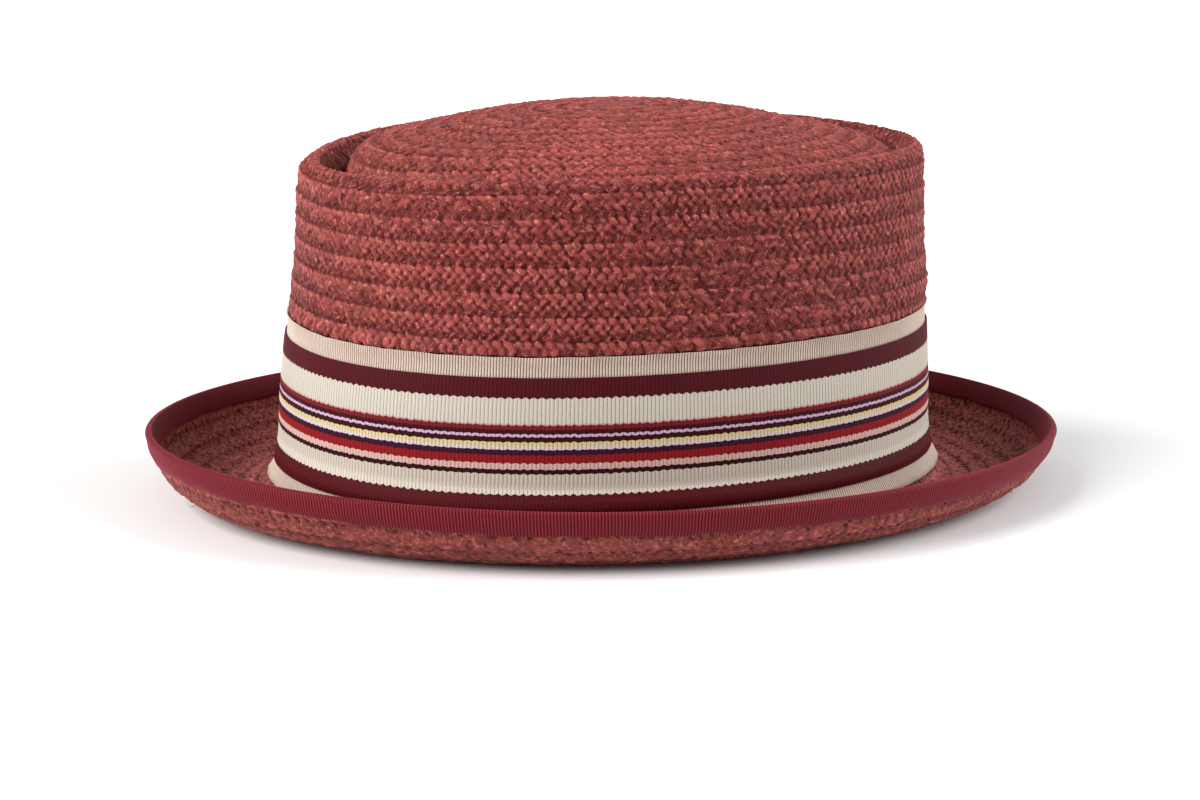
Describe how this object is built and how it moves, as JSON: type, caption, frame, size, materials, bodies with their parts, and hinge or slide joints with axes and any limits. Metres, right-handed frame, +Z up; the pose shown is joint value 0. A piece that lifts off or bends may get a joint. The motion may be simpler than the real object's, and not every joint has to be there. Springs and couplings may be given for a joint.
{
  "type": "porkpie hat",
  "caption": "Sewn straw braid hat with a low oval crown, a grooved and domed top, a curled brim with a bound edge, and a striped ribbon over a plain ribbon.",
  "frame": {"origin": "the middle of the surface that the hat stands on, under the middle of its brim", "axes": "+X along the hat's length, +Y across it to the side with the ribbons' joins, +Z up"},
  "size_m": [0.2974, 0.2406, 0.1204],
  "materials": {
    "straw": "matte dyed straw braid, sewn in rows",
    "plain_ribbon": "ribbed grosgrain, soft sheen",
    "striped_ribbon": "ribbed grosgrain with woven stripes",
    "binding": "ribbed grosgrain, folded over the edge"
  },
  "bodies": {
    "root": {"straw_body": "straw", "plain_ribbon": "plain_ribbon", "striped_ribbon": "striped_ribbon", "brim_binding": "binding"}
  },
  "joints": []
}
